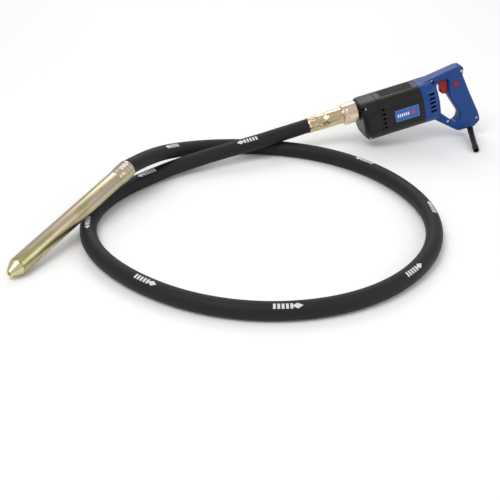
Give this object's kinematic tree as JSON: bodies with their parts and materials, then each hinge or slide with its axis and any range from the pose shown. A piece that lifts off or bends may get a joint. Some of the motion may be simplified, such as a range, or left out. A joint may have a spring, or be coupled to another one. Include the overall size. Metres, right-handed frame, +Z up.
{
  "type": "concrete vibrator",
  "caption": "Hand-held electric concrete vibrator: geared motor in a plastic body with a D-handle, screw coupling, rubber hose and slim steel poker.",
  "frame": {"origin": "on the floor, under the middle of the rigid pieces' box", "axes": "+X in plan along the motor from its coupling to its handle; +Z up"},
  "size_m": [1.0148, 0.6981, 0.1635],
  "materials": {
    "black_plastic": "moulded, slightly glossy black",
    "blue_plastic": "moulded royal blue",
    "red_plastic": "moulded red",
    "label": null,
    "zinc_gold": "yellow passivated zinc",
    "olive_steel": "olive and pink passivated zinc",
    "rubber": "matte charcoal rubber",
    "steel": "bright steel",
    "copper": "bare or lacquered copper",
    "carbon": "carbon",
    "brass": "bright brass",
    "lamination": "stacked steel sheets",
    "seal_rubber": "seal rubber"
  },
  "bodies": {
    "power_unit": {"armature_front_bearing": "steel", "armature_rear_bearing": "steel", "bearing_plate": "steel", "cable_clamp": "black_plastic", "cable_sleeve": "rubber", "cap_screw_lower_left": "steel", "cap_screw_lower_right": "steel", "cap_screw_upper_left": "steel", "cap_screw_upper_right": "steel", "field_core": "lamination", "front_cap": "black_plastic", "handle_screw_front": "steel", "handle_screw_grip": "steel", "handle_screw_lower": "steel", "handle_screw_rear": "steel", "hose": "rubber", "hose_ferrule": "zinc_gold", "left_brush": "carbon", "left_brush_holder": "brass", "left_brush_spring": "steel", "left_label_plate": "label", "left_shell": "blue_plastic", "lower_field_coil": "copper", "motor_casing": "black_plastic", "oil_seal": "seal_rubber", "poker_front_bearing": "steel", "poker_nose": "olive_steel", "poker_rear_bearing": "steel", "poker_tail": "olive_steel", "poker_tube": "olive_steel", "rear_bearing_bracket": "black_plastic", "right_brush": "carbon", "right_brush_holder": "brass", "right_brush_spring": "steel", "right_label_plate": "label", "right_shell": "blue_plastic", "spindle_front_bearing": "steel", "spindle_rear_bearing": "steel", "switch_body": "black_plastic", "upper_field_coil": "copper"},
    "armature": {"armature_shaft": "steel", "armature_core": "lamination", "front_winding": "copper", "rear_winding": "copper", "commutator": "copper", "cooling_fan": "black_plastic", "pinion": "steel"},
    "output": {"spindle": "steel", "drive_gear": "steel", "core_drive_end": "steel"},
    "vibrator": {"eccentric_weight": "steel", "core_driven_end": "steel"},
    "trigger": {"trigger": "red_plastic", "trigger_spring": "steel"},
    "lock_button": {"lock_button": "red_plastic"},
    "coupling": {"coupling_collar": "zinc_gold"}
  },
  "joints": [
    {"name": "armature_spin", "type": "hinge", "parent": "power_unit", "child": "armature", "pos_m": [0.2325, 0.1961, 0.056], "axis": [0.9732, 0, 0.23], "continuous": true},
    {"name": "spindle_spin", "type": "hinge", "parent": "power_unit", "child": "output", "pos_m": [0.22732, 0.1961, 0.0779], "axis": [0.9732, 0, 0.23], "continuous": true},
    {"name": "weight_spin", "type": "hinge", "parent": "power_unit", "child": "vibrator", "pos_m": [-0.5025, -0.2347, 0.0136], "axis": [0.6533, 0.7385, 0.1668], "continuous": true},
    {"name": "trigger_pull", "type": "slide", "parent": "power_unit", "child": "trigger", "axis": [0.9732, 0, 0.23], "range_m": [0, 0.0045], "stiffness_N_per_m": 400, "springref_m": -0.004},
    {"name": "lock_press", "type": "slide", "parent": "power_unit", "child": "lock_button", "axis": [0, 1, 0], "range_m": [0, 0.003], "stiffness_N_per_m": 400, "springref_m": -0.003},
    {"name": "collar_turn", "type": "hinge", "parent": "power_unit", "child": "coupling", "pos_m": [0.22732, 0.1961, 0.0779], "axis": [0.9732, 0, 0.23], "continuous": true}
  ],
  "couplings": [
    {"joint": "spindle_spin", "follows": "armature_spin", "ratio": -0.33333},
    {"joint": "weight_spin", "follows": "armature_spin", "ratio": -0.33333}
  ]
}
